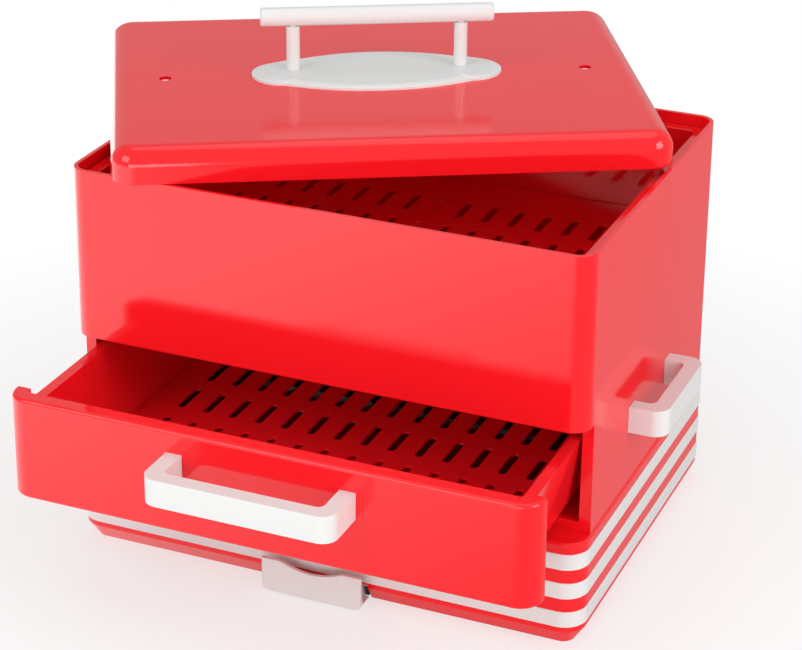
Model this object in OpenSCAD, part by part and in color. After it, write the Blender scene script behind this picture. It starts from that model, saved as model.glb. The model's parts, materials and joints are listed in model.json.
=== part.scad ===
// Countertop steamer: a moulded cabinet on a banded base, with a drawer, a hanging tray and a loose lid.
// Millimetres. +X is right, the front faces -Y and +Z is up.
// The origin is the middle of the footprint, on the table.

/* [Cabinet] */
// Outer width of the cabinet at the rim
cabinet_w = 310; // [280:1:350]
// Outer depth of the cabinet at the rim
cabinet_d = 229.4; // [220:0.2:260]
// Height of the rim above the table
rim_z = 236; // [230:1:262]
// Radius of the upright corners at the rim
corner_r = 11; // [10.5:0.5:16]
// Draft of the moulded walls, in degrees, wider toward the base
draft = 0.5; // [0:0.1:1]
// Moulded wall thickness
wall = 2.4; // [2:0.1:3]
// Height of the upper front panel's lower edge
panel_z = 133.6; // [131:0.2:140]
// Depth of the inner ledge below the rim
ledge_drop = 9; // [6:0.5:14]
// Width of the inner ledge
ledge_w = 5.5; // [4:0.5:8]

/* [Base] */
// Height of the base
base_h = 66.3; // [63:0.1:70]
// How far the base stands outside the cabinet walls
base_step = 1.1; // [0.5:0.1:2]
// Bevel round the base's top edge
base_bevel = 1.1; // [0.5:0.1:1.2]
// How far the foot of the skirt draws in
skirt_taper = 6.4; // [4:0.2:7]
// Height of the drawn-in foot
skirt_taper_h = 9.9; // [8:0.1:12]
// Height of one band
band_h = 10; // [8:0.5:11]
// Height of the lowest band's middle
band_first_z = 17.9; // [17.6:0.1:19]
// Spacing of the bands
band_pitch = 18.3; // [17:0.1:18.8]
// How far a band stands proud of the skirt
band_proud = 0.4; // [0.3:0.1:2]
// Depth of the groove that holds a band
band_groove = 0.8; // [0.5:0.1:1]
// Bevel of a band's outer edges
band_bevel = 0.4; // [0.2:0.1:0.8]

/* [Drawer] */
// How far the drawer stands open at rest
drawer_out = 74.8; // [20:0.2:110]
// Depth of the drawer front, and of the recess that takes it
front_depth = 13.5; // [12:0.5:14]
// Thickness of the drawer front's face
front_t = 3; // [2.5:0.1:4]
// Depth of the drawer front's top rim
front_rim_d = 9.5; // [8:0.5:10]
// How far the drawer front stands outside the cabinet walls
front_proud = 1; // [0:0.1:1.5]
// Rounding of the drawer front's edges
front_round = 2.4; // [1:0.1:2.5]
// Gap above the closed drawer front
front_top_gap = 4.8; // [3:0.2:5.4]
// Width of the pillars beside the drawer
pillar_w = 5.5; // [5:0.5:10]
// Height of the sill that the drawer slides over
sill_h = 6; // [6:0.5:8]
// Width of the runner ledges inside the cabinet
runner_w = 26; // [22:0.5:26]
// Height of the tub's side walls
tub_h = 50; // [40:0.5:50.5]
// Width of the tub's double walls
tub_wall = 6.5; // [6:0.1:8]
// Thickness of each skin of the double walls
tub_skin = 2.2; // [1.8:0.1:2.4]
// How far the tub's sides lean in, from the top down to its foot
tub_lean = 5.7; // [3:0.1:7]
// How far the tub's foot draws in further
tub_foot = 4.8; // [3:0.1:6]
// Height of the tub's foot
tub_foot_h = 10; // [8:0.5:14]
// Space left behind the closed tub
tub_back_gap = 10; // [6:0.5:20]

/* [Upper tray] */
// Depth of the upper tray below the ledge
tray_depth = 56; // [40:1:75]
// Wall of the upper tray
tray_wall = 2; // [1.6:0.1:2.6]

/* [Racks] */
// Thickness of the perforated racks
rack_t = 1.6; // [1.2:0.1:2.4]
// Width of a rack slot
slot_w = 5; // [3:0.5:6]
// Length of a rack slot
slot_l = 26; // [16:1:30]
// Width of the seat that carries a rack
rack_seat_w = 8; // [6:0.5:10]

/* [Handles] */
// Height of the U handles' section
handle_h = 16; // [12:0.5:20]
// Thickness of the U handles' section
handle_t = 9.5; // [8:0.5:11]
// Outer corner radius of the U handles
handle_r = 9; // [6:0.5:11]
// Inner corner radius of the U handles
handle_inner_r = 4; // [2:0.5:5]
// Width of the drawer handle
pull_w = 112; // [90:1:130]
// Reach of the drawer handle
pull_reach = 31.2; // [26:0.2:34]
// Height of the drawer handle's middle
pull_z = 107.7; // [97:0.1:110]
// Width of a side handle
side_w = 76.5; // [60:0.5:90]
// Reach of a side handle
side_reach = 21.9; // [20:0.1:30]
// Height of a side handle's middle
side_z = 107.4; // [95:0.2:116]
// Distance of the side handles behind the middle
side_y = -1.2; // [-10:0.2:10]

/* [Lid] */
// Height of the lid
lid_h = 20.1; // [18:0.1:26]
// Wall of the lid
lid_wall = 2.3; // [2:0.1:2.8]
// Gap between the lid's skirt and the cabinet
lid_gap = 0.7; // [0.5:0.1:1.2]
// Rounding of the lid's top edge
lid_round = 11.5; // [8:0.5:12]
// Turn of the lid at rest, as it lies askew on the rim
lid_turn = 29; // [20:0.2:35]
// Place of the lid's middle to the right of the cabinet's
lid_x = -38; // [-50:0.2:-30]
// Place of the lid's middle behind the cabinet's
lid_y = 51; // [40:0.5:60]
// Spacing of the two vents
vent_pitch = 251; // [220:1:260]
// Diameter of a vent
vent_d = 7.5; // [5:0.5:10]
// Length of the oval handle plate
plate_l = 149; // [130:1:180]
// Width of the oval handle plate
plate_w = 64; // [50:1:72]
// Height of the plate's upright edge
plate_edge_h = 1.4; // [1:0.1:2]
// Height of the plate's sloping crown
plate_crown_h = 2.2; // [1:0.1:4]
// Distance of a post from the plate's end
post_inset = 24.7; // [20:0.1:35]
// Diameter of a post
post_d = 8; // [7:0.5:10]
// Length of a post
post_h = 27; // [22:0.5:36]
// Diameter of the grip
grip_d = 11; // [10:0.5:14]
// Length of the grip
grip_l = 138; // [120:1:160]

/* [Drip tray] */
// Width of the drip tray's lip
lip_w = 62; // [60:1:70]
// Reach of the lip in front of the base
lip_reach = 11.5; // [10.5:0.5:16]
// Height of the lip
lip_h = 21; // [18:0.5:24]
// Width of the finger notch in the lip
notch_w = 38; // [24:1:40]
// Depth of the finger notch
notch_depth = 4.5; // [3:0.5:6]
// Length of the tray behind the base's front
drip_l = 92; // [70:1:100]
// Height of the drip tray's body
drip_h = 10; // [8:0.2:10]
// Wall of the drip tray
drip_wall = 2; // [1.6:0.1:2.4]

/* [Boiler] */
// Inner width of the water pan
pan_w = 236; // [200:1:240]
// Inner depth of the water pan
pan_d = 130; // [110:1:132]
// Depth of the water pan
pan_depth = 35; // [30:0.5:36]
// Sheet thickness of the pan and the drip plate
sheet = 1.2; // [1:0.1:1.4]
// Distance of the pan behind the middle
pan_y = 18; // [16:0.5:20]
// Diameter of the heating plate
heater_d = 100; // [90:1:104]
// Thickness of the heating plate
heater_t = 6; // [5:0.5:7]
// Ring diameter of the heating element
element_ring_d = 72; // [66:1:76]
// Diameter of the heating element's tube
element_d = 7; // [6:0.5:7.5]

/* [Fit] */
// Clearance of sliding pieces over what carries them
slide_gap = 0.3; // [0.2:0.05:0.5]
// Clearance beside pieces that drop in or slide
side_gap = 0.8; // [0.5:0.1:1.2]
// Gap between the upper tray's flange and the cabinet's walls
flange_gap = 0.6; // [0.4:0.1:1]
// Clearance round pins and screws in their holes
hole_gap = 0.1; // [0.05:0.05:0.2]
// Diameter of the screws
screw_d = 3.5; // [3:0.1:4]
// Diameter of the screw heads
screw_head_d = 7; // [6:0.5:8]
// Height of the screw heads
screw_head_h = 2; // [1.5:0.1:2.4]

/* [Hidden] */
$fn = 64;

red = [0.88, 0.09, 0.12];
white = [0.94, 0.94, 0.93];
steel = [0.75, 0.76, 0.78];
aluminium = [0.82, 0.83, 0.84];
black = [0.1, 0.1, 0.11];

// Overlap that makes one piece's solids join, and the overshoot of every cut
eps = 0.5;

// Cabinet
half_w = cabinet_w / 2;
half_d = cabinet_d / 2;

// How far a drafted wall stands outside the rim's outline at a height
function flare(z) = (rim_z - z) * tan(draft);

inner_w = cabinet_w - 2 * wall;
inner_d = cabinet_d - 2 * wall;
inner_r = corner_r - wall;
ledge_z = rim_z - ledge_drop;
pillar_y = -half_d + front_depth;
sill_z = base_h + sill_h;
runner_open_w = inner_w - 2 * runner_w;
runner_front_y = pillar_y + runner_w;
runner_back_y = half_d - wall - runner_w;

// Base
base_grow = flare(base_h) + base_step;
base_w = cabinet_w + 2 * base_grow;
base_d = cabinet_d + 2 * base_grow;
base_r = corner_r + base_grow;
plate_z = 3;
plate_t = 2.5;
plate_top = plate_z + plate_t;
deck_z = base_h - wall;
boss_d = 8;
boss_inset = 17;
boss_x = base_w / 2 - boss_inset;
boss_y = base_d / 2 - boss_inset;
tie_x = half_w - wall - runner_w / 2;
tie_y = half_d / 2;
foot_d = 16;
foot_stem_d = 6;
foot_inset = 42;
foot_x = base_w / 2 - foot_inset;
foot_y = base_d / 2 - foot_inset;

// Cord gland in the back of the base
gland_x = 70;
gland_z = band_first_z + band_pitch;
gland_bore = 7;
gland_body_d = 11.6;
gland_flange_d = 18;
gland_flange_t = 2.5;
gland_nut_t = 4;
gland_hole_d = gland_body_d + 2 * hole_gap;
gland_y = base_d / 2;

// Water pan and boiler
pan_flange = 6;
pan_r = 14;
pan_floor_z = base_h - pan_depth;
pan_outer_w = pan_w + 2 * sheet;
pan_outer_d = pan_d + 2 * sheet;
heater_z = pan_floor_z - heater_t;
element_z = heater_z - slide_gap - element_d / 2;
bracket_t = 1.6;
bracket_w = 12;
bracket_z = element_z - element_d / 2 - slide_gap - bracket_t;
stat_d = 15;
stat_h = heater_z - bracket_z - bracket_t - slide_gap;
fuse_d = 4;
fuse_l = 12;
fuse_y = 19;
element_gap_angle = 50;
pin_d = 5;
pin_h = 5;
block_l = 30;
block_w = 14;
block_h = 12;
block_y = gland_y - 34;
lead_d = 2.4;
bend_d = 2.8;

// Drip plate over the pan, with its drain into the drip tray
drip_plate_z = base_h + sheet;
drip_plate_rim = 3;
drip_plate_w = runner_open_w - 2 * side_gap - 2;
drip_plate_front_y = runner_front_y + side_gap + 2;
drip_plate_back_y = runner_back_y - side_gap - 2;
chimney_l = 200;
chimney_w = 18;
chimney_h = 3;
chimney_pitch = 42;
drain_bore = 6;
drain_d = 10;
drain_y = drip_plate_front_y + 10;

// Drip tray
drip_floor_z = 0.8;
drip_top_z = drip_floor_z + drip_h;
drip_flange_w = 3;
drip_flange_t = 2;
channel_t = 2.5;
drip_open_w = lip_w - 1.4;
drip_body_w = drip_open_w - 2 * (channel_t + side_gap + 0.3);
drip_open_h = drip_top_z + side_gap;
channel_top_z = drip_top_z - drip_flange_t - slide_gap;
drip_front_y = -base_d / 2;
drip_back_y = drip_front_y + drip_l;
lip_r = 4;
lip_fillet = 6;
lip_t = 2.4;
lip_floor_l = lip_reach + 3;

// Drawer, given where it lies when closed and then moved out
front_bottom_z = base_h + 0.5;
front_top_z = panel_z - front_top_gap;
front_gap = 1.5;
tub_z = sill_z + slide_gap;
tub_top_z = tub_z + tub_h;
front_y = -half_d - front_proud;
tub_front_y = front_y - flare(tub_top_z) + front_t / cos(draft);
tub_back_y = half_d - wall - tub_back_gap;
tub_d = tub_back_y - tub_front_y;
tub_mid_y = (tub_back_y + tub_front_y) / 2;
tub_w = cabinet_w - 2 * pillar_w - 3;
tub_r = 10;
tub_inner_d = tub_d - 2 * tub_wall;
tub_inner_r = tub_r - tub_wall;
tub_floor_t = 2.4;
tub_rib_w = 10;
tub_foot_x = tub_w / 2 - tub_lean - tub_foot;
// Half width of the tub's hollow where its floor carries the rack
tub_floor_x = tub_foot_x + tub_foot * tub_floor_t / tub_foot_h - tub_wall;
drawer_rack_w = 2 * (tub_floor_x - side_gap);
drawer_rack_d = tub_inner_d - 2 * side_gap;

// Upper tray
tray_z = ledge_z - tray_depth;
tray_flange_t = 2;
tray_flange_w = inner_w - 2 * flange_gap;
tray_flange_d = inner_d - 2 * flange_gap;
tray_w = inner_w - 2 * ledge_w - 2 * side_gap;
tray_d = inner_d - 2 * ledge_w - 2 * side_gap;
tray_r = 6;
tray_floor_t = 2.4;
tray_rib_w = 10;

// Handles
pull_leg_x = pull_w / 2 - handle_t / 2;
side_leg_y = side_w / 2 - handle_t / 2;
handle_hole_depth = 14;

// Lid
lid_w = cabinet_w + 2 * (lid_gap + lid_wall);
lid_d = cabinet_d + 2 * (lid_gap + lid_wall);
lid_r = corner_r + lid_gap + lid_wall;
post_pitch = plate_l - 2 * post_inset;
lid_base_z = rim_z + slide_gap;
plate_h = plate_edge_h + plate_crown_h;
plate_crown_scale = 0.86;
post_tenon_d = 5;
post_tenon_h = 5;
lid_screw_depth = 16;
grip_z = lid_h + plate_h + post_h + grip_d / 2;
grip_chamfer = 0.8;
saddle = 1;

// Plan shapes

module round_rect(w, d, r) {
    square([w - 2 * r, d], center = true);
    square([w, d - 2 * r], center = true);
    for (x = [-1, 1], y = [-1, 1])
        translate([x * (w / 2 - r), y * (d / 2 - r)]) circle(r);
}

module round_ring(w, d, r, t) {
    difference() {
        round_rect(w, d, r);
        round_rect(w - 2 * t, d - 2 * t, r - t);
    }
}

// Everything in front of a line, or behind it, as a wide plan area
module plan_front(y) {
    translate([-cabinet_w, y - 2 * cabinet_d]) square([2 * cabinet_w, 2 * cabinet_d]);
}

module plan_behind(y) {
    translate([-cabinet_w, y]) square([2 * cabinet_w, 2 * cabinet_d]);
}

module slot_shape(l, w) {
    square([w, l - w], center = true);
    for (y = [-1, 1]) translate([0, y * (l - w) / 2]) circle(d = w);
}

// An oval of four arcs: two round ends, and two flat sides tangent to them
module oval(l, w) {
    end_r = w * 0.3;
    end_x = l / 2 - end_r;
    side_rise = (end_x * end_x + end_r * end_r - w * w / 4) / (2 * (w / 2 - end_r));
    side_r = w / 2 + side_rise;
    tangent_x = end_x * side_r / (side_r - end_r);
    for (x = [-1, 1]) translate([x * end_x, 0]) circle(end_r);
    intersection() {
        square([2 * tangent_x, w], center = true);
        translate([0, -side_rise]) circle(side_r, $fn = 200);
        translate([0, side_rise]) circle(side_r, $fn = 200);
    }
}

// Sweeps a wall profile round a rounded rectangle.
// The profile's x runs outward from the outline, and its y is height.
module sweep_round(w, d, r) {
    for (side = [0:3]) {
        along = side % 2 == 0 ? w : d;
        away = side % 2 == 0 ? d / 2 : w / 2;
        rotate([0, 0, 90 * side]) {
            translate([along / 2 - r, -away, 0])
                rotate([90, 0, -90]) linear_extrude(along - 2 * r) children();
            translate([along / 2 - r, r - away, 0])
                rotate([0, 0, -90]) rotate_extrude(angle = 90) translate([r, 0]) children();
        }
    }
}

// A filled slab of the plan at a height
module slab(z, t) {
    translate([0, 0, z]) linear_extrude(t) children();
}

module screw(length) {
    cylinder(d = screw_d, h = length);
    translate([0, 0, -screw_head_h]) cylinder(d = screw_head_d, h = screw_head_h);
}

// A plate's grid of slots, long way along y
module slot_grid(w, d) {
    pitch_x = 3.4 * slot_w;
    pitch_y = slot_l + 2.4 * slot_w;
    count_x = floor((w - slot_w) / pitch_x);
    count_y = floor((d - slot_w) / pitch_y);
    for (i = [0 : count_x - 1], j = [0 : count_y - 1])
        translate([(i - (count_x - 1) / 2) * pitch_x, (j - (count_y - 1) / 2) * pitch_y])
            slot_shape(slot_l, slot_w);
}

// A U handle in plan: feet on y = 0, reaching along -y
module handle_plan(w, reach) {
    difference() {
        translate([-w / 2, -reach]) {
            translate([handle_r, 0]) square([w - 2 * handle_r, reach]);
            translate([0, handle_r]) square([w, reach - handle_r]);
            for (x = [handle_r, w - handle_r]) translate([x, handle_r]) circle(handle_r);
        }
        translate([0, handle_t - reach]) {
            translate([handle_t - w / 2, handle_inner_r]) square([w - 2 * handle_t, reach]);
            translate([handle_t + handle_inner_r - w / 2, 0])
                square([w - 2 * (handle_t + handle_inner_r), reach]);
            for (x = [-1, 1])
                translate([x * (w / 2 - handle_t - handle_inner_r), handle_inner_r]) circle(handle_inner_r);
        }
    }
}

module u_handle(w, reach) {
    difference() {
        translate([0, 0, -handle_h / 2]) linear_extrude(handle_h) handle_plan(w, reach);
        for (x = [-1, 1])
            translate([x * (w - handle_t) / 2, eps, 0])
                rotate([90, 0, 0]) cylinder(d = screw_d + 2 * hole_gap, h = handle_hole_depth + eps);
    }
}

// Cabinet

// The rim's outline at a height of the drafted walls, drawn in by an inset
module wall_plan(z, inset) {
    grow = flare(z) - inset;
    round_rect(cabinet_w + 2 * grow, cabinet_d + 2 * grow, corner_r + grow);
}

module wall_profile() {
    polygon([
        [0, rim_z],
        [flare(base_h), base_h],
        [flare(base_h) - wall, base_h],
        [-wall, rim_z]
    ]);
}

// The place of a side handle, square to the drafted wall
module at_side(side) {
    translate([side * (half_w + flare(side_z)), side_y, side_z])
        rotate([0, -side * draft, 0]) children();
}

module upper_housing() {
    color(red) difference() {
        union() {
            difference() {
                sweep_round(cabinet_w, cabinet_d, corner_r) wall_profile();
                slab(base_h - eps, panel_z - base_h + eps) plan_front(pillar_y);
            }
            // pillars beside the drawer, ending inside the side walls
            for (side = [0, 1])
                slab(base_h, panel_z - base_h + wall / 2) mirror([side, 0])
                    translate([half_w - pillar_w, pillar_y])
                        square([pillar_w + flare(panel_z) - wall / 4, wall]);
            // lintel that closes the upper front panel from below
            slab(panel_z, wall) intersection() {
                wall_plan(panel_z, wall / 2);
                plan_front(pillar_y + wall);
            }
            // sill and runner ledges that carry the drawer
            slab(base_h, sill_h) translate([0, pillar_y + wall / 2])
                square([inner_w, wall], center = true);
            slab(sill_z - wall, wall) difference() {
                intersection() {
                    wall_plan(sill_z, wall / 2);
                    plan_behind(pillar_y);
                }
                translate([-runner_open_w / 2, runner_front_y])
                    square([runner_open_w, runner_back_y - runner_front_y]);
            }
            for (x = [-1, 1], y = [-1, 1])
                translate([x * tie_x, y * tie_y, base_h]) cylinder(d = boss_d, h = sill_h - wall / 2);
            // ledge that carries the upper tray
            slab(ledge_z - wall, wall) difference() {
                wall_plan(ledge_z, wall / 2);
                round_rect(inner_w - 2 * ledge_w, inner_d - 2 * ledge_w, inner_r - ledge_w);
            }
        }
        for (x = [-1, 1], y = [-1, 1]) {
            at_side(x) translate([0, y * side_leg_y, 0])
                rotate([0, 90, 0]) cylinder(d = screw_d + 2 * hole_gap, h = 4 * wall, center = true);
            translate([x * tie_x, y * tie_y, base_h - eps])
                cylinder(d = screw_d + 2 * hole_gap, h = sill_h - wall + eps);
        }
    }
}

module skirt_profile() {
    difference() {
        polygon([
            [-skirt_taper, 0],
            [0, skirt_taper_h],
            [0, base_h - base_bevel],
            [-base_bevel, base_h],
            [-base_bevel - wall, base_h],
            [-wall, base_h - base_bevel - wall],
            [-wall, skirt_taper_h],
            [-skirt_taper - wall, 0]
        ]);
        for (i = [0:2])
            translate([-band_groove, band_first_z + i * band_pitch - band_h / 2]) square([wall, band_h]);
    }
}

module base_housing() {
    color(red) difference() {
        union() {
            sweep_round(base_w, base_d, base_r) skirt_profile();
            slab(deck_z, wall) difference() {
                round_rect(base_w - 2 * base_bevel - wall, base_d - 2 * base_bevel - wall,
                    base_r - base_bevel - wall / 2);
                translate([0, pan_y])
                    round_rect(pan_outer_w + 2 * side_gap, pan_outer_d + 2 * side_gap,
                        pan_r + sheet + side_gap);
            }
            for (x = [-1, 1], y = [-1, 1])
                translate([x * boss_x, y * boss_y, plate_top])
                    cylinder(d = boss_d, h = deck_z - plate_top + wall / 2);
        }
        for (x = [-1, 1], y = [-1, 1]) {
            translate([x * boss_x, y * boss_y, plate_top - eps])
                cylinder(d = screw_d + 2 * hole_gap, h = handle_hole_depth + eps);
            translate([x * tie_x, y * tie_y, deck_z - eps])
                cylinder(d = screw_d + 2 * hole_gap, h = wall + 2 * eps);
        }
        translate([0, drain_y, deck_z - eps]) cylinder(d = drain_d + 2 * side_gap, h = wall + 2 * eps);
        slab(-eps, drip_open_h + eps)
            translate([-drip_open_w / 2, -base_d / 2 - eps]) square([drip_open_w, base_r]);
        translate([gland_x, gland_y - base_r, gland_z])
            rotate([-90, 0, 0]) cylinder(d = gland_hole_d, h = base_r + eps);
    }
}

module band_profile(z) {
    t = band_groove + band_proud;
    translate([-band_groove, z - band_h / 2]) polygon([
        [0, 0],
        [t - band_bevel, 0],
        [t, band_bevel],
        [t, band_h - band_bevel],
        [t - band_bevel, band_h],
        [0, band_h]
    ]);
}

module band(i) {
    sweep_round(base_w, base_d, base_r) band_profile(band_first_z + i * band_pitch);
}

module band_upper() {
    color(white) band(2);
}

module band_middle() {
    color(white) difference() {
        band(1);
        translate([gland_x, gland_y - base_r, gland_z])
            rotate([-90, 0, 0]) cylinder(d = gland_flange_d + 2 * side_gap, h = 2 * base_r);
    }
}

module band_lower() {
    color(white) band(0);
}

module side_handle(side) {
    at_side(side) rotate([0, 0, side * 90]) u_handle(side_w, side_reach);
}

module side_handle_left() {
    color(white) side_handle(-1);
}

module side_handle_right() {
    color(white) side_handle(1);
}

module side_handle_screws() {
    color(steel)
        for (x = [-1, 1], y = [-1, 1])
            at_side(x) translate([-x * wall * cos(draft), y * side_leg_y, 0])
                rotate([0, x * 90, 0]) screw(wall + handle_hole_depth - eps);
}

module housing_screws() {
    color(steel)
        for (x = [-1, 1], y = [-1, 1])
            translate([x * tie_x, y * tie_y, deck_z]) screw(wall + sill_h - wall - eps);
}

// Underside

module tray_channel() {
    for (x = [-1, 1])
        translate([x * (drip_open_w / 2 - channel_t / 2 - 0.3), drip_front_y + wall + 1, plate_z])
            linear_extrude(channel_top_z - plate_z)
                translate([-channel_t / 2, 0]) square([channel_t, drip_l - wall - 1]);
}

module base_plate() {
    inset = skirt_taper + wall + side_gap;
    color(black) difference() {
        union() {
            slab(plate_z, plate_t) difference() {
                round_rect(base_w - 2 * inset, base_d - 2 * inset, base_r - wall);
                translate([-drip_open_w / 2 + 0.4, -base_d])
                    square([drip_open_w - 0.8, base_d / 2 + drip_l]);
                // cooling slots under the boiler
                for (i = [-3:3]) translate([i * 16, pan_y + 30]) slot_shape(40, 5);
            }
            tray_channel();
        }
        for (x = [-1, 1], y = [-1, 1]) {
            translate([x * boss_x, y * boss_y, plate_z - eps])
                cylinder(d = screw_d + 2 * hole_gap, h = plate_t + 2 * eps);
            translate([x * foot_x, y * foot_y, plate_z - eps])
                cylinder(d = foot_stem_d + 2 * hole_gap, h = plate_t + 2 * eps);
        }
    }
}

module base_screws() {
    color(steel)
        for (x = [-1, 1], y = [-1, 1])
            translate([x * boss_x, y * boss_y, plate_z]) screw(plate_t + handle_hole_depth - eps);
}

module feet() {
    color(black)
        for (x = [-1, 1], y = [-1, 1])
            translate([x * foot_x, y * foot_y, 0]) {
                cylinder(d = foot_d, h = plate_z);
                cylinder(d = foot_stem_d, h = plate_top + 1);
            }
}

module cord_gland() {
    color(black) translate([gland_x, gland_y, gland_z]) rotate([-90, 0, 0]) difference() {
        union() {
            cylinder(d = gland_flange_d, h = gland_flange_t);
            translate([0, 0, -wall - gland_nut_t]) cylinder(d = gland_body_d, h = wall + gland_nut_t + eps);
            translate([0, 0, -wall - gland_nut_t]) cylinder(d = gland_flange_d, h = gland_nut_t, $fn = 6);
        }
        translate([0, 0, -wall - gland_nut_t - eps])
            cylinder(d = gland_bore, h = wall + gland_nut_t + gland_flange_t + 2 * eps);
    }
}

// Drip tray: a body hung on its flanges, and a turned-up lip in front

module lip_profile() {
    // x is depth behind the lip's face, y is height
    difference() {
        union() {
            square([lip_floor_l, drip_wall + lip_fillet]);
            square([lip_t, lip_h]);
        }
        translate([lip_t + lip_fillet, drip_wall]) square([lip_reach, lip_h]);
        translate([lip_t + lip_fillet, drip_wall + lip_fillet]) circle(lip_fillet);
        translate([lip_t, drip_wall + lip_fillet]) square([lip_reach, lip_h]);
    }
}

module lip() {
    notch_r = (notch_w * notch_w / 4 + notch_depth * notch_depth) / (2 * notch_depth);
    lip_y = drip_front_y - lip_reach;
    translate([0, lip_y, drip_floor_z]) difference() {
        intersection() {
            rotate([90, 0, 90]) translate([0, 0, -lip_w / 2]) linear_extrude(lip_w) lip_profile();
            translate([0, lip_floor_l, lip_h]) rotate([90, 0, 0]) linear_extrude(lip_floor_l)
                round_rect(lip_w, 2 * lip_h, lip_r);
        }
        translate([0, -eps, lip_h - notch_depth + notch_r])
            rotate([-90, 0, 0]) cylinder(r = notch_r, h = lip_t + 2 * eps);
    }
}

module drip_tray() {
    body_y = drip_front_y - 1;
    body_l = drip_l - 2;
    color(white) union() {
        difference() {
            translate([-drip_body_w / 2, body_y, drip_floor_z]) cube([drip_body_w, body_l, drip_h]);
            translate([drip_wall - drip_body_w / 2, body_y + drip_wall, drip_floor_z + drip_wall])
                cube([drip_body_w - 2 * drip_wall, body_l - 2 * drip_wall, drip_h]);
        }
        for (x = [-1, 1])
            translate([x * (drip_body_w + drip_flange_w) / 2, body_y + body_l / 2 + 2, 0])
                translate([0, 0, drip_top_z - drip_flange_t / 2])
                    cube([drip_flange_w + eps, body_l - 4, drip_flange_t], center = true);
        lip();
    }
}

// Boiler

module water_pan() {
    color(steel) translate([0, pan_y, 0]) {
        difference() {
            union() {
                slab(pan_floor_z, pan_depth) round_rect(pan_outer_w, pan_outer_d, pan_r + sheet);
                slab(base_h, sheet)
                    round_rect(pan_outer_w + 2 * pan_flange, pan_outer_d + 2 * pan_flange,
                        pan_r + pan_flange);
            }
            slab(pan_floor_z + sheet, pan_depth + sheet) round_rect(pan_w, pan_d, pan_r);
        }
    }
}

module drip_plate_plan(inset) {
    translate([0, (drip_plate_front_y + drip_plate_back_y) / 2])
        round_rect(drip_plate_w - 2 * inset, drip_plate_back_y - drip_plate_front_y - 2 * inset,
            pan_r - inset);
}

// One of the two long steam slots over the pan
module steam_slot(side, inset) {
    translate([0, pan_y + side * chimney_pitch / 2])
        rotate(90) slot_shape(chimney_l - 2 * inset, chimney_w - 2 * inset);
}

module drip_plate() {
    color(steel) difference() {
        union() {
            slab(drip_plate_z, sheet) drip_plate_plan(0);
            slab(drip_plate_z, drip_plate_rim) difference() {
                drip_plate_plan(0);
                drip_plate_plan(sheet);
            }
            for (y = [-1, 1]) slab(drip_plate_z, chimney_h) steam_slot(y, 0);
            translate([0, drain_y, drip_top_z + 2])
                cylinder(d = drain_d, h = drip_plate_z - drip_top_z - 2 + sheet / 2);
        }
        for (y = [-1, 1])
            slab(drip_plate_z - eps, chimney_h + 2 * eps) steam_slot(y, sheet);
        translate([0, drain_y, drip_top_z]) cylinder(d = drain_bore, h = drip_plate_z + base_h);
    }
}

module at_heater() {
    translate([0, pan_y, 0]) children();
}

module heating_plate() {
    color(aluminium) at_heater() translate([0, 0, heater_z]) cylinder(d = heater_d, h = heater_t);
}

module heating_element() {
    turn = 360 - element_gap_angle;
    color(steel) at_heater() {
        translate([0, 0, element_z])
            rotate([0, 0, 90 + element_gap_angle / 2]) rotate_extrude(angle = turn)
                translate([element_ring_d / 2, 0]) circle(d = element_d);
        for (s = [-1, 1])
            rotate([0, 0, 90 + s * element_gap_angle / 2]) translate([element_ring_d / 2, 0, element_z])
                rotate([s * 90, 0, 0]) cylinder(d = pin_d, h = pin_h);
    }
}

module element_bracket() {
    leg_x = heater_d / 2 + 2;
    color(steel) at_heater() {
        translate([0, 0, bracket_z + bracket_t / 2])
            cube([2 * leg_x + 2 * bracket_t, bracket_w, bracket_t], center = true);
        for (x = [-1, 1])
            translate([x * (leg_x + bracket_t / 2), 0, (bracket_z + pan_floor_z) / 2])
                cube([bracket_t, bracket_w, pan_floor_z - bracket_z], center = true);
    }
}

blade_l = 9;
blade_w = 6.3;
blade_t = 0.8;

module thermostat() {
    color(black) at_heater() {
        translate([0, 0, heater_z - stat_h]) cylinder(d = stat_d, h = stat_h);
        for (x = [-1, 1])
            translate([x * (stat_d / 2 + blade_l / 2 - eps), 0, heater_z - stat_h / 2])
                cube([blade_l, blade_w, blade_t], center = true);
    }
}

module thermal_fuse() {
    color(steel) at_heater()
        translate([-fuse_l / 2, fuse_y, heater_z - slide_gap - fuse_d / 2])
            rotate([0, 90, 0]) cylinder(d = fuse_d, h = fuse_l);
}

module terminal_block() {
    color(white) translate([gland_x - block_l / 2, block_y, plate_top]) cube([block_l, block_w, block_h]);
}

// A wire through a few points, round at its bends
module lead(points) {
    for (i = [0 : len(points) - 2]) {
        step = points[i + 1] - points[i];
        translate(points[i])
            rotate([0, acos(step.z / norm(step)), atan2(step.y, step.x)])
                cylinder(d = lead_d, h = norm(step), $fn = 16);
        if (i > 0) translate(points[i]) sphere(d = bend_d, $fn = 16);
    }
}

lead_z = plate_top + lead_d;
lead_pitch = 6;
stat_end_x = stat_d / 2 + blade_l - eps;
block_front_y = block_y - slide_gap;

module live_lead() {
    z = heater_z - stat_h / 2;
    x = stat_d / 2 + blade_l / 2;
    y = pan_y - bracket_w / 2 - 2 * lead_d;
    color(black) lead([
        [gland_x + lead_pitch, block_front_y, lead_z],
        [gland_x + lead_pitch, y, lead_z],
        [x, y, lead_z],
        [x, y, z],
        [x, pan_y - blade_w / 2 - slide_gap, z]
    ]);
}

module link_lead() {
    z = heater_z - stat_h / 2;
    x = -stat_end_x - slide_gap;
    fuse_z = heater_z - slide_gap - fuse_d / 2;
    color(red) lead([
        [x, pan_y, z],
        [x - 5, pan_y, z],
        [x - 5, pan_y + fuse_y, z],
        [x - 5, pan_y + fuse_y, fuse_z],
        [-fuse_l / 2 - slide_gap, pan_y + fuse_y, fuse_z]
    ]);
}

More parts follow.
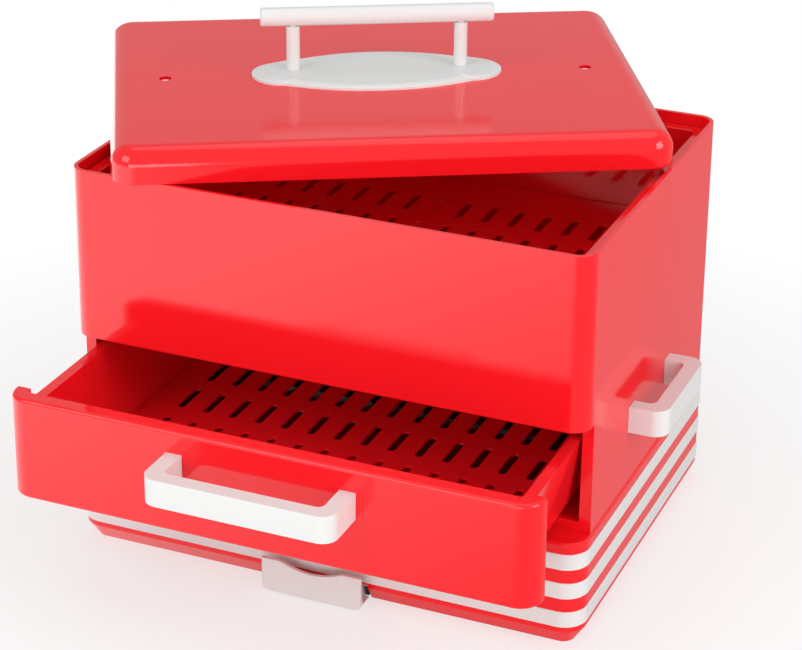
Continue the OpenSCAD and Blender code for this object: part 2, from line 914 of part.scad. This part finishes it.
module neutral_lead() {
    angle = 90 - element_gap_angle / 2;
    out = pin_h + lead_d / 2 + slide_gap;
    pin_x = element_ring_d / 2 * cos(angle) - out * sin(angle);
    pin_y = pan_y + element_ring_d / 2 * sin(angle) + out * cos(angle);
    y = pan_y + element_ring_d / 2 + element_d / 2 + 2 * bend_d;
    color(white) lead([
        [gland_x - lead_pitch, block_front_y, lead_z],
        [gland_x - lead_pitch, y, lead_z],
        [pin_x, y, lead_z],
        [pin_x, y, element_z],
        [pin_x, pin_y, element_z]
    ]);
}

// Drawer

module at_drawer() {
    translate([0, -drawer_out, 0]) children();
}

// Drawn upright, then leaned by the draft about the rim
module front_profile() {
    h = front_top_z - front_bottom_z;
    r = front_round;
    translate([0, rim_z]) rotate(draft) translate([0, front_bottom_z - rim_z]) {
        // face, rounded along its outer edges
        translate([-front_t, 0]) square([front_t - r, h]);
        translate([-front_t, r]) square([front_t, h - 2 * r]);
        for (y = [r, h - r]) translate([-r, y]) circle(r);
        // rim along the top
        translate([-front_rim_d, h - front_t]) square([front_rim_d - r, front_t]);
    }
}

// The place of the drawer handle, square to the leaning front
module at_pull() {
    translate([0, front_y - flare(pull_z), pull_z]) rotate([-draft, 0, 0]) children();
}

module pull_holes() {
    at_pull()
        for (x = [-1, 1])
            translate([x * pull_leg_x, -eps, 0]) rotate([-90, 0, 0])
                cylinder(d = screw_d + 2 * hole_gap, h = front_t + tub_wall + 2 * eps + screw_head_h);
}

module drawer_front() {
    color(red) at_drawer() difference() {
        intersection() {
            sweep_round(cabinet_w + 2 * front_proud, cabinet_d + 2 * front_proud, corner_r + front_proud)
                front_profile();
            slab(0, rim_z) plan_front(pillar_y - front_gap);
        }
        pull_holes();
    }
}

module tub_plan(inset) {
    translate([0, tub_mid_y]) round_rect(tub_w - 2 * inset, tub_d - 2 * inset, tub_r - inset);
}

// The tub seen from the front: sides that lean in, and a foot that draws in further
module tub_section(inset) {
    foot = tub_foot_x - inset;
    middle = tub_w / 2 - tub_lean - inset;
    top = tub_w / 2 - inset;
    polygon([
        [-foot, tub_z - eps],
        [foot, tub_z - eps],
        [middle, tub_z + tub_foot_h],
        [top, tub_top_z + eps],
        [-top, tub_top_z + eps],
        [-middle, tub_z + tub_foot_h]
    ]);
}

// The tub's form drawn in by an inset, between two heights
module tub_form(inset, z0, z1) {
    intersection() {
        slab(z0, z1 - z0) tub_plan(inset);
        translate([0, tub_back_y + eps, 0])
            rotate([90, 0, 0]) linear_extrude(tub_d + 2 * eps) tub_section(inset);
    }
}

module drawer_tub() {
    floor_z = tub_z + tub_floor_t;
    seat_w = drawer_rack_w - 2 * rack_seat_w;
    seat_d = drawer_rack_d - 2 * rack_seat_w;
    color(red) at_drawer() difference() {
        tub_form(0, tub_z, tub_top_z);
        tub_form(tub_wall, floor_z, tub_top_z + eps);
        // the hollow between the two skins, open below
        difference() {
            tub_form(tub_skin, tub_z - eps, tub_top_z - tub_skin);
            tub_form(tub_wall - tub_skin, tub_z - 2 * eps, tub_top_z);
        }
        // two floor openings under the rack, either side of a rib
        for (side = [0, 1]) mirror([side, 0, 0])
            translate([tub_rib_w / 2, tub_mid_y - seat_d / 2, tub_z - eps])
                cube([(seat_w - tub_rib_w) / 2, seat_d, tub_floor_t + 2 * eps]);
        pull_holes();
    }
}

module drawer_rack() {
    color(red) at_drawer() translate([0, tub_mid_y, 0]) slab(tub_z + tub_floor_t, rack_t) difference() {
        round_rect(drawer_rack_w, drawer_rack_d, tub_inner_r);
        slot_grid(drawer_rack_w - 2 * rack_seat_w, drawer_rack_d - 2 * rack_seat_w);
    }
}

module drawer_handle() {
    color(white) at_drawer() at_pull() u_handle(pull_w, pull_reach);
}

module drawer_handle_screws() {
    // depth of the tub's inner face behind the front, at the handle's height
    grip = front_t + tub_wall + flare(pull_z) - flare(tub_top_z) + hole_gap;
    color(steel) at_drawer() at_pull()
        for (x = [-1, 1])
            translate([x * pull_leg_x, grip, 0]) rotate([90, 0, 0]) screw(grip + handle_hole_depth - eps);
}

// Upper tray

module upper_tray() {
    color(red) union() {
        slab(tray_z, tray_depth + slide_gap + tray_flange_t) round_ring(tray_w, tray_d, tray_r, tray_wall);
        slab(ledge_z + slide_gap, tray_flange_t) difference() {
            round_rect(tray_flange_w, tray_flange_d, inner_r - flange_gap);
            round_rect(tray_w - tray_wall, tray_d - tray_wall, tray_r - tray_wall / 2);
        }
        slab(tray_z, tray_floor_t) difference() {
            round_rect(tray_w - tray_wall, tray_d - tray_wall, tray_r - tray_wall / 2);
            square([tray_w - 2 * (tray_wall + rack_seat_w), tray_d - 2 * (tray_wall + rack_seat_w)],
                center = true);
        }
        slab(tray_z, tray_floor_t) square([tray_rib_w, tray_d - tray_wall], center = true);
    }
}

module upper_rack() {
    w = tray_w - 2 * (tray_wall + side_gap);
    d = tray_d - 2 * (tray_wall + side_gap);
    color(red) slab(tray_z + tray_floor_t, rack_t) difference() {
        round_rect(w, d, tray_r - tray_wall);
        slot_grid(w - 2 * rack_seat_w, d - 2 * rack_seat_w);
    }
}

// Lid, drawn square to the axes and then laid askew on the rim

module at_lid() {
    translate([lid_x, lid_y, lid_base_z]) rotate([0, 0, lid_turn]) children();
}

// A quarter-round shoulder over an upright wall, filled inward
module shoulder(h, r) {
    translate([-r, 0]) square([r, h - r]);
    intersection() {
        translate([-r, h - r]) circle(r);
        translate([-r, h - r]) square([r, r]);
    }
}

module lid_profile() {
    difference() {
        shoulder(lid_h, lid_round);
        translate([-lid_wall, -eps]) shoulder(lid_h - lid_wall + eps, lid_round - lid_wall);
    }
}

module lid_shell() {
    color(red) at_lid() difference() {
        union() {
            sweep_round(lid_w, lid_d, lid_r) lid_profile();
            slab(lid_h - lid_wall, lid_wall)
                round_rect(lid_w - 2 * lid_round, lid_d - 2 * lid_round, lid_r - lid_round);
        }
        for (x = [-1, 1]) {
            translate([x * vent_pitch / 2, 0, 0]) cylinder(d = vent_d, h = lid_h + eps);
            translate([x * post_pitch / 2, 0, 0]) cylinder(d = screw_d + 2 * hole_gap, h = lid_h + eps);
        }
    }
}

module lid_handle_plate() {
    color(white) at_lid() translate([0, 0, lid_h]) difference() {
        union() {
            linear_extrude(plate_edge_h) oval(plate_l, plate_w);
            translate([0, 0, plate_edge_h])
                linear_extrude(plate_crown_h, scale = plate_crown_scale, $fn = 48) oval(plate_l, plate_w);
        }
        for (x = [-1, 1])
            translate([x * post_pitch / 2, 0, -eps])
                cylinder(d = screw_d + 2 * hole_gap, h = plate_h + 2 * eps);
    }
}

module lid_post(side) {
    at_lid() translate([side * post_pitch / 2, 0, lid_h + plate_h]) difference() {
        union() {
            cylinder(d = post_d, h = post_h);
            cylinder(d = post_tenon_d, h = post_h + post_tenon_h);
        }
        translate([0, 0, -eps]) cylinder(d = screw_d + 2 * hole_gap, h = lid_screw_depth + eps);
    }
}

module lid_post_left() {
    color(white) lid_post(-1);
}

module lid_post_right() {
    color(white) lid_post(1);
}

module lid_grip() {
    color(white) at_lid() translate([0, 0, grip_z]) difference() {
        rotate([0, 90, 0]) rotate_extrude() polygon([
            [0, -grip_l / 2],
            [grip_d / 2 - grip_chamfer, -grip_l / 2],
            [grip_d / 2, grip_chamfer - grip_l / 2],
            [grip_d / 2, grip_l / 2 - grip_chamfer],
            [grip_d / 2 - grip_chamfer, grip_l / 2],
            [0, grip_l / 2]
        ]);
        for (x = [-1, 1])
            translate([x * post_pitch / 2, 0, -grip_d / 2 - eps]) {
                cylinder(d = post_tenon_d + 2 * hole_gap, h = post_tenon_h + slide_gap + eps);
                cylinder(d = post_d + 2 * hole_gap, h = saddle + eps);
            }
    }
}

module lid_screws() {
    length = lid_wall + plate_h + lid_screw_depth - eps;
    color(steel) at_lid()
        for (x = [-1, 1]) translate([x * post_pitch / 2, 0, lid_h - lid_wall]) screw(length);
}

upper_housing();
base_housing();
band_upper();
band_middle();
band_lower();
side_handle_left();
side_handle_right();
side_handle_screws();
housing_screws();
base_plate();
base_screws();
feet();
cord_gland();
water_pan();
drip_plate();
heating_plate();
heating_element();
element_bracket();
thermostat();
thermal_fuse();
terminal_block();
live_lead();
link_lead();
neutral_lead();
drip_tray();
drawer_front();
drawer_tub();
drawer_rack();
drawer_handle();
drawer_handle_screws();
upper_tray();
upper_rack();
lid_shell();
lid_handle_plate();
lid_post_left();
lid_post_right();
lid_grip();
lid_screws();
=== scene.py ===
"""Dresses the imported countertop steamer: softened mouldings, finishes, camera and studio."""

import json
import logging
import math
from dataclasses import dataclass, field
from enum import Enum
from typing import Any, Union

import bmesh
import bpy
from mathutils import Matrix, Vector


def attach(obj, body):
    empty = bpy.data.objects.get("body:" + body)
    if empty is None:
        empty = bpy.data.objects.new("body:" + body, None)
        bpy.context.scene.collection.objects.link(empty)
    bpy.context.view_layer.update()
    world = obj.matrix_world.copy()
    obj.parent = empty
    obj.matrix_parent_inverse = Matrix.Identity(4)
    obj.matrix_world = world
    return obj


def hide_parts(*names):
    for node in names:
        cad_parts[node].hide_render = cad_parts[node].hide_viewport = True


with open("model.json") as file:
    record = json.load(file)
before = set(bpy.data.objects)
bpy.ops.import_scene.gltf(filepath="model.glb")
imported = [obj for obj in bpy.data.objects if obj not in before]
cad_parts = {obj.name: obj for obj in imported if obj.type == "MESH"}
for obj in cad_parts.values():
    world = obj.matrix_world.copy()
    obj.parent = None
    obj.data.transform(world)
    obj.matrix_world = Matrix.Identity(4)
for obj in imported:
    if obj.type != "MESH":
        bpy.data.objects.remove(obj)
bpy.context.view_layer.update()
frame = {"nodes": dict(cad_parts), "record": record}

LOG = logging.getLogger("steamer")
MM = 0.001

Triple = tuple[float, float, float]
Value = Union["Sock", float, tuple]

WHITE_LIGHT = (1.0, 1.0, 1.0, 1.0)
EVEN: Triple = (1.0, 1.0, 1.0)
NOISE_MIDDLE = 0.5


class Slot(Enum):
    """The record's material slots."""

    RED = "red_plastic"
    WHITE = "white_plastic"
    STEEL = "steel"
    ALUMINIUM = "aluminium"
    BLACK = "black_plastic"
    RUBBER = "black_rubber"
    CREAM = "cream_plastic"
    BLACK_WIRE = "black_wire"
    RED_WIRE = "red_wire"
    WHITE_WIRE = "white_wire"


class Body(Enum):
    """The CAD bodies that pieces ride on."""

    CABINET = "cabinet"
    DRAWER = "drawer"
    DRIP_DRAWER = "drip_drawer"
    TRAY = "tray"
    LID = "lid"


# Shader trees


class Sock:
    """A socket of a shader tree that can stand in Python expressions."""

    def __init__(self, tree: "ShaderTree", socket: bpy.types.NodeSocket | None) -> None:
        """Keeps the tree and the socket.

        Args:
            tree: The shader tree that new Math nodes go into.
            socket: The output socket that this value comes from, or None for an output node.
        """
        self.tree = tree
        self.socket = socket

    def _math(self, operation: str, first: Value, second: Value) -> "Sock":
        """Adds one Math node.

        Args:
            operation: The Math node's operation.
            first: Its first value.
            second: Its second value.

        Returns:
            The node's result.
        """
        return self.tree.node("Math", {"operation": operation}, {0: first, 1: second})

    def __add__(self, other: Value) -> "Sock":
        """self + other."""
        return self._math("ADD", self, other)

    def __radd__(self, other: Value) -> "Sock":
        """other + self."""
        return self._math("ADD", other, self)

    def __sub__(self, other: Value) -> "Sock":
        """self - other."""
        return self._math("SUBTRACT", self, other)

    def __rsub__(self, other: Value) -> "Sock":
        """other - self."""
        return self._math("SUBTRACT", other, self)

    def __mul__(self, other: Value) -> "Sock":
        """self * other."""
        return self._math("MULTIPLY", self, other)

    def __rmul__(self, other: Value) -> "Sock":
        """other * self."""
        return self._math("MULTIPLY", other, self)


class ShaderTree:
    """The node tree of one material or world, built from expressions."""

    # Socket numbers of the Mix node in its colour mode, where names repeat
    MIX_FACTOR = 0
    MIX_FIRST = 6
    MIX_SECOND = 7
    MIX_RESULT = 2

    def __init__(self, owner: bpy.types.ID) -> None:
        """Empties the tree of a material or a world.

        Args:
            owner: The data-block whose node tree is built.
        """
        owner.use_nodes = True
        self.nodes = owner.node_tree.nodes
        self.links = owner.node_tree.links
        self.nodes.clear()

    def node(
        self,
        kind: str,
        settings: dict[str, Any] | None = None,
        inputs: dict[str | int, Value] | None = None,
        output: str | int = 0,
    ) -> Sock:
        """Adds any node.

        Args:
            kind: The node's type without its ShaderNode prefix.
            settings: Properties that are set first.
            inputs: Values or links by socket name or number.
            output: The output that is returned.

        Returns:
            The chosen output as a value for expressions.
        """
        new = self.nodes.new("ShaderNode" + kind)
        for name, value in (settings or {}).items():
            setattr(new, name, value)
        for name, value in (inputs or {}).items():
            socket = new.inputs[name]
            if isinstance(value, Sock):
                self.links.new(value.socket, socket)
            else:
                socket.default_value = value
        return Sock(self, new.outputs[output]) if new.outputs else Sock(self, None)

    def mix(self, factor: Value, first: Triple, second: Triple) -> Sock:
        """Mixes two plain colours.

        Args:
            factor: 0 gives the first colour, 1 the second.
            first: A colour.
            second: A colour.

        Returns:
            The mixed colour.
        """
        inputs = {self.MIX_FACTOR: factor, self.MIX_FIRST: (*first, 1.0), self.MIX_SECOND: (*second, 1.0)}
        return self.node("Mix", {"data_type": "RGBA"}, inputs, self.MIX_RESULT)

    def mix_shaders(self, factor: Sock, first: Sock, second: Sock) -> Sock:
        """Mixes two shaders.

        Args:
            factor: 0 gives the first shader, 1 the second.
            first: A shader.
            second: A shader.

        Returns:
            The mixed shader.
        """
        return self.node("MixShader", inputs={0: factor, 1: first, 2: second})

    def ramp(self, value: Sock, start: float, end: float, low: float = 0.0) -> Sock:
        """Rises evenly to 1 and stays there.

        Args:
            value: What it follows.
            start: The value up to which it is at its low.
            end: The value from which it is 1.
            low: Its least result.

        Returns:
            The result.
        """
        inputs = {"Value": value, "From Min": start, "From Max": end, "To Min": low, "To Max": 1.0}
        return self.node("MapRange", {"clamp": True}, inputs)

    def ray(self, kind: str) -> Sock:
        """1 on one kind of ray, such as "Is Glossy Ray"."""
        return self.node("LightPath", output=kind)

    def seen(self) -> Sock:
        """1 on rays that show a surface straight or through a clear piece."""
        either = self.ray("Is Camera Ray") + self.ray("Is Transmission Ray")
        return self.node("Clamp", inputs={"Value": either})

    def object_noise(self, scale: float, detail: float, stretch: Triple = EVEN) -> Sock:
        """Noise laid over the object in metres.

        Args:
            scale: Lumps per metre.
            detail: Octaves.
            stretch: Scale of each axis, for brushed grain.

        Returns:
            The noise value, about NOISE_MIDDLE on average.
        """
        place = self.node("TexCoord", output="Object")
        if stretch != EVEN:
            place = self.node("VectorMath", {"operation": "MULTIPLY"}, {0: place, 1: stretch})
        return self.node("TexNoise", inputs={"Vector": place, "Scale": scale, "Detail": detail})

    def surface(self, **inputs: Value) -> None:
        """Ends a material in one Principled shader.

        Args:
            inputs: Its sockets, with underscores for spaces.
        """
        named = {name.replace("_", " "): value for name, value in inputs.items()}
        shader = self.node("BsdfPrincipled", inputs=named)
        self.node("OutputMaterial", inputs={"Surface": shader})


# Finishes


@dataclass(frozen=True)
class Plastic:
    """A moulded plastic with a glossy or matt skin.

    The colour drifts a little over the piece, the gloss is broken by faint flow
    marks, and the skin has the fine ripple of a moulded surface.
    """

    name: str
    colour: Triple
    deep: Triple
    roughness: float
    drift_scale: float = 9.0
    drift_detail: float = 2.0
    haze: float = 0.05
    flow_scale: float = 26.0
    flow_detail: float = 3.0
    flow_stretch: Triple = (1.0, 1.0, 0.35)
    ripple: float = 0.012
    ripple_scale: float = 260.0
    ripple_detail: float = 1.0
    ripple_height: float = 0.6 * MM

    def material(self) -> bpy.types.Material:
        """Builds the material."""
        made = bpy.data.materials.new(self.name)
        tree = ShaderTree(made)
        drift = tree.object_noise(self.drift_scale, self.drift_detail)
        flow = tree.object_noise(self.flow_scale, self.flow_detail, self.flow_stretch)
        skin = tree.object_noise(self.ripple_scale, self.ripple_detail)
        relief = {"Strength": self.ripple, "Distance": self.ripple_height, "Height": skin}
        tree.surface(
            Base_Color=tree.mix(drift, self.colour, self.deep),
            Roughness=self.roughness + self.haze * (flow - NOISE_MIDDLE),
            Normal=tree.node("Bump", inputs=relief),
        )
        return made


@dataclass(frozen=True)
class Metal:
    """A sheet, cast or turned metal, with a directional grain where it is brushed."""

    name: str
    colour: Triple
    dull: Triple
    roughness: float
    grain: Triple = (1.0, 40.0, 40.0)
    grain_scale: float = 30.0
    grain_depth: float = 0.05
    grain_height: float = 0.4 * MM
    grain_haze: float = 0.16
    stain_scale: float = 14.0
    detail: float = 3.0

    def material(self) -> bpy.types.Material:
        """Builds the material."""
        made = bpy.data.materials.new(self.name)
        tree = ShaderTree(made)
        streak = tree.object_noise(self.grain_scale, self.detail, self.grain)
        stain = tree.object_noise(self.stain_scale, self.detail)
        relief = {"Strength": self.grain_depth, "Distance": self.grain_height, "Height": streak}
        tree.surface(
            Base_Color=tree.mix(stain, self.colour, self.dull),
            Metallic=1.0,
            Roughness=self.roughness + self.grain_haze * (streak - NOISE_MIDDLE),
            Normal=tree.node("Bump", inputs=relief),
        )
        return made


FINISHES: dict[Slot, Plastic | Metal] = {
    Slot.RED: Plastic("glossy_red", (0.95, 0.011, 0.018), (0.91, 0.009, 0.015), 0.1),
    Slot.WHITE: Plastic("glossy_white", (0.80, 0.81, 0.80), (0.77, 0.78, 0.77), 0.24),
    Slot.STEEL: Metal("satin_steel", (0.66, 0.67, 0.69), (0.56, 0.57, 0.59), 0.3),
    Slot.ALUMINIUM: Metal("cast_aluminium", (0.74, 0.75, 0.76), (0.62, 0.63, 0.64), 0.42, grain=EVEN),
    Slot.BLACK: Plastic("matt_black", (0.028, 0.028, 0.03), (0.018, 0.018, 0.02), 0.5, ripple=0.06),
    Slot.RUBBER: Plastic("black_rubber", (0.02, 0.02, 0.02), (0.014, 0.014, 0.014), 0.72, ripple=0.12),
    Slot.CREAM: Plastic("cream_ceramic", (0.78, 0.74, 0.64), (0.7, 0.66, 0.56), 0.45),
    Slot.BLACK_WIRE: Plastic("black_sleeve", (0.025, 0.025, 0.027), (0.02, 0.02, 0.02), 0.45),
    Slot.RED_WIRE: Plastic("red_sleeve", (0.55, 0.03, 0.025), (0.48, 0.025, 0.02), 0.45),
    Slot.WHITE_WIRE: Plastic("white_sleeve", (0.8, 0.8, 0.78), (0.74, 0.74, 0.72), 0.45),
}


class FinishRack:
    """Makes each finish once and hands it to pieces and CAD nodes."""

    def __init__(self) -> None:
        """Builds every material of the record."""
        self.made = {slot: finish.material() for slot, finish in FINISHES.items()}
        subparts = frame["record"]["subparts"]
        self.slot_of = {entry["node"]: Slot(entry["material_slot"]) for entry in subparts}

    def dress(self, piece: bpy.types.Object, slot: Slot) -> None:
        """Gives a piece one finish all over.

        Args:
            piece: The mesh object.
            slot: The finish's slot in the record.
        """
        piece.data.materials.clear()
        piece.data.materials.append(self.made[slot])

    def dress_nodes(self) -> None:
        """Gives every CAD node the finish of its slot."""
        for name, node in frame["nodes"].items():
            for place in node.material_slots:
                place.material = self.made[self.slot_of[name]]
            LOG.info("node %s: %s", name, self.slot_of[name].value)


# Pieces


@dataclass(frozen=True)
class Softened:
    """A CAD node whose sharp edges are rounded as a moulding's are."""

    node: str
    radius: float
    segments: int = 3
    edge_angle: float = 32.0
    weld: float = 0.01 * MM
    flat_angle: float = 0.6
    flat_weight: int = 100

    def build(self, rack: FinishRack, body: Body) -> None:
        """Makes the piece that stands for the node, and dresses it.

        Args:
            rack: The finishes.
            body: The body that the piece rides on.
        """
        mesh = self._cleaned()
        piece = bpy.data.objects.new("soft_" + self.node, mesh)
        bpy.context.scene.collection.objects.link(piece)
        self._round(piece)
        slot = rack.slot_of[self.node]
        rack.dress(piece, slot)
        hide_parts(self.node)
        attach(piece, body.value)
        LOG.info("piece %s on %s", piece.name, body.value)

    def _cleaned(self) -> bpy.types.Mesh:
        """Copies the node's mesh, with its points welded and its flat triangles joined.

        Returns:
            The copy, shaded smooth.
        """
        mesh = frame["nodes"][self.node].data.copy()
        form = bmesh.new()
        form.from_mesh(mesh)
        bmesh.ops.remove_doubles(form, verts=form.verts, dist=self.weld)
        bmesh.ops.dissolve_limit(
            form,
            angle_limit=math.radians(self.flat_angle),
            verts=form.verts,
            edges=form.edges,
            use_dissolve_boundaries=False,
        )
        form.to_mesh(mesh)
        form.free()
        mesh.shade_smooth()
        return mesh

    def _round(self, piece: bpy.types.Object) -> None:
        """Rounds the sharp edges and keeps the flat faces flat in the shading.

        Args:
            piece: The mesh object.
        """
        bevel = piece.modifiers.new("edges", "BEVEL")
        bevel.width = self.radius
        bevel.segments = self.segments
        bevel.limit_method = "ANGLE"
        bevel.angle_limit = math.radians(self.edge_angle)
        bevel.use_clamp_overlap = True
        shading = piece.modifiers.new("shading", "WEIGHTED_NORMAL")
        shading.mode = "FACE_AREA"
        shading.weight = self.flat_weight


@dataclass(frozen=True)
class SubAssembly:
    """One body of the steamer and the mouldings that ride on it."""

    body: Body
    mouldings: tuple[Softened, ...]

    def build(self, rack: FinishRack) -> None:
        """Builds every moulding of the body.

        Args:
            rack: The finishes.
        """
        for moulding in self.mouldings:
            moulding.build(rack, self.body)


CABINET = SubAssembly(
    Body.CABINET,
    (
        Softened("upper_housing", 0.6 * MM),
        Softened("base_housing", 0.5 * MM),
        *(Softened(f"band_{place}", 0.3 * MM) for place in ("upper", "middle", "lower")),
        *(Softened(f"side_handle_{side}", 2.0 * MM, segments=4) for side in ("left", "right")),
    ),
)
DRAWER = SubAssembly(
    Body.DRAWER,
    (
        Softened("drawer_front", 0.8 * MM),
        Softened("drawer_tub", 0.8 * MM),
        Softened("drawer_handle", 2.0 * MM, segments=4),
    ),
)
DRIP_DRAWER = SubAssembly(Body.DRIP_DRAWER, (Softened("drip_tray", 0.6 * MM),))
TRAY = SubAssembly(Body.TRAY, (Softened("upper_tray", 0.6 * MM),))
LID = SubAssembly(
    Body.LID,
    (
        Softened("lid_shell", 0.7 * MM),
        Softened("lid_handle_plate", 0.6 * MM, edge_angle=40.0),
        *(Softened(f"lid_post_{side}", 0.3 * MM, edge_angle=50.0) for side in ("left", "right")),
        Softened("lid_grip", 0.4 * MM),
    ),
)


# Studio


@dataclass(frozen=True)
class Viewpoint:
    """The photograph's camera, as azimuth, elevation and roll round a target.

    Angles are in degrees, the distance and the target in metres, the focal
    length and the image's width in pixels, and the sensor in millimetres.
    """

    azimuth: float = 22.742
    elevation: float = 25.288
    roll: float = 0.541
    distance: float = 1.43725
    target: Triple = (0.00043, 0.0, 0.11954)
    focal: float = 2410.0
    image_width: float = 802.0
    sensor: float = 36.0

    def build(self) -> None:
        """Makes the camera and points it."""
        az, el, roll = (math.radians(v) for v in (self.azimuth, self.elevation, self.roll))
        back = Vector((math.sin(az) * math.cos(el), -math.cos(az) * math.cos(el), math.sin(el)))
        right = (-back).cross(Vector((0.0, 0.0, 1.0))).normalized()
        up = right.cross(-back)
        turned_right = math.cos(roll) * right + math.sin(roll) * up
        turned_up = math.cos(roll) * up - math.sin(roll) * right
        data = bpy.data.cameras.new("camera")
        data.sensor_width = self.sensor
        data.lens = self.focal * self.sensor / self.image_width
        camera = bpy.data.objects.new("camera", data)
        pose = Matrix((turned_right, turned_up, back)).transposed().to_4x4()
        pose.translation = Vector(self.target) + self.distance * back
        camera.matrix_world = pose
        bpy.context.scene.collection.objects.link(camera)
        bpy.context.scene.camera = camera


@dataclass(frozen=True)
class Softbox:
    """One rectangular lamp aimed at a point, in metres and watts."""

    name: str
    place: Triple
    aim: Triple
    size: tuple[float, float]
    power: float

    def build(self) -> None:
        """Makes the lamp."""
        data = bpy.data.lights.new(self.name, "AREA")
        data.shape = "RECTANGLE"
        data.size, data.size_y = self.size
        data.energy = self.power
        lamp = bpy.data.objects.new(self.name, data)
        lamp.location = self.place
        lamp.rotation_euler = (Vector(self.aim) - Vector(self.place)).to_track_quat("-Z", "Y").to_euler()
        bpy.context.scene.collection.objects.link(lamp)


@dataclass(frozen=True)
class Floor:
    """A pale floor that takes the shadow and fades into the white surround.

    Glossy faces see a glow in it, strong at the front left and weak at the right and behind. This is a
    painted reflection that lays a painted sheen on the front.
    """

    half: float = 4.0
    grey: float = 0.93
    fade_start: float = 0.2
    fade_end: float = 0.48
    fade_least: float = 0.62
    # Painted reflection: the glow strengths that glossy faces see in the floor, weak and strong, and the
    # way towards the strong glow
    painted_reflection_weak: float = 0.45
    painted_sheen_strength: float = 2.3
    painted_sheen_way: Triple = (-1.0, -0.5, 0.0)
    painted_sheen_from: float = 0.0
    painted_sheen_to: float = 0.55

    def build(self) -> None:
        """Makes the floor."""
        half = self.half
        mesh = bpy.data.meshes.new("floor")
        corners = [(-half, -half, 0.0), (half, -half, 0.0), (half, half, 0.0), (-half, half, 0.0)]
        mesh.from_pydata(corners, [], [(0, 1, 2, 3)])
        floor = bpy.data.objects.new("floor", mesh)
        bpy.context.scene.collection.objects.link(floor)
        mesh.materials.append(self._material())

    def _material(self) -> bpy.types.Material:
        """Builds the floor's material."""
        made = bpy.data.materials.new("pale_floor")
        tree = ShaderTree(made)
        place = tree.node("TexCoord", output="Object")
        away = tree.node("VectorMath", {"operation": "LENGTH"}, {0: place}, output="Value")
        fade = tree.ramp(away, self.fade_start, self.fade_end, self.fade_least)
        matt = tree.node("BsdfDiffuse", inputs={"Color": (self.grey, self.grey, self.grey, 1.0)})
        white = self._glow(tree, 1.0)
        seen = tree.mix_shaders(fade * tree.seen(), matt, white)
        # Glossy rays see the painted reflection instead of the floor
        mixed = tree.mix_shaders(tree.ray("Is Glossy Ray"), seen, self._painted_reflection(tree, place))
        tree.node("OutputMaterial", inputs={"Surface": mixed})
        return made

    def _painted_reflection(self, tree: ShaderTree, place: Sock) -> Sock:
        """The glow that glossy faces see in the floor, a painted reflection that gives the front a
        painted sheen.

        Args:
            tree: The floor's tree.
            place: The place on the floor.

        Returns:
            The shader.
        """
        # Painted sheen: the floor glows stronger towards the front left, seen only by glossy rays
        way = {0: place, 1: self.painted_sheen_way}
        towards = tree.node("VectorMath", {"operation": "DOT_PRODUCT"}, way, output="Value")
        painted_sheen_mask = tree.ramp(towards, self.painted_sheen_from, self.painted_sheen_to)
        return tree.mix_shaders(painted_sheen_mask, self._glow(tree, self.painted_reflection_weak), self._glow(tree, self.painted_sheen_strength))

    @staticmethod
    def _glow(tree: ShaderTree, strength: float) -> Sock:
        """A white glow of one strength."""
        return tree.node("Emission", inputs={"Color": WHITE_LIGHT, "Strength": strength})


@dataclass(frozen=True)
class Studio:
    """Camera, lamps, white surround and floor."""

    viewpoint: Viewpoint = field(default_factory=Viewpoint)
    floor: Floor = field(default_factory=Floor)
    lamps: tuple[Softbox, ...] = (
        Softbox("key", (-0.8, -1.5, 1.3), (0.0, -0.05, 0.1), (1.2, 0.9), 10.5),
        Softbox("fill", (1.6, -0.4, 0.9), (0.0, 0.0, 0.12), (0.9, 0.9), 12.5),
        Softbox("top", (0.1, 0.4, 1.9), (0.0, 0.0, 0.2), (1.4, 1.0), 4.0),
        Softbox("low", (0.3, -1.9, 0.35), (0.0, -0.12, 0.05), (1.2, 0.5), 8.0),
    )
    ambient: float = 0.48
    mirrored: float = 0.6

    def build(self) -> None:
        """Builds the whole studio."""
        self.viewpoint.build()
        for lamp in self.lamps:
            lamp.build()
        self._surround()
        self.floor.build()
        bpy.context.scene.view_settings.view_transform = "Standard"

    def _surround(self) -> None:
        """White where it is seen, and softer where it is mirrored or lights the object."""
        world = bpy.data.worlds.new("surround")
        bpy.context.scene.world = world
        tree = ShaderTree(world)
        lights, mirror, white = (
            tree.node("Background", inputs={"Color": WHITE_LIGHT, "Strength": strength})
            for strength in (self.ambient, self.mirrored, 1.0)
        )
        unseen = tree.mix_shaders(tree.ray("Is Glossy Ray"), lights, mirror)
        mixed = tree.mix_shaders(tree.seen(), unseen, white)
        tree.node("OutputWorld", inputs={"Surface": mixed})


def main() -> None:
    """Builds the studio, then every sub-assembly, and reports each piece."""
    logging.basicConfig(level=logging.INFO, format="%(message)s")
    Studio().build()
    rack = FinishRack()
    rack.dress_nodes()
    for assembly in (CABINET, DRAWER, DRIP_DRAWER, TRAY, LID):
        assembly.build(rack)


if __name__ == "__main__":
    main()
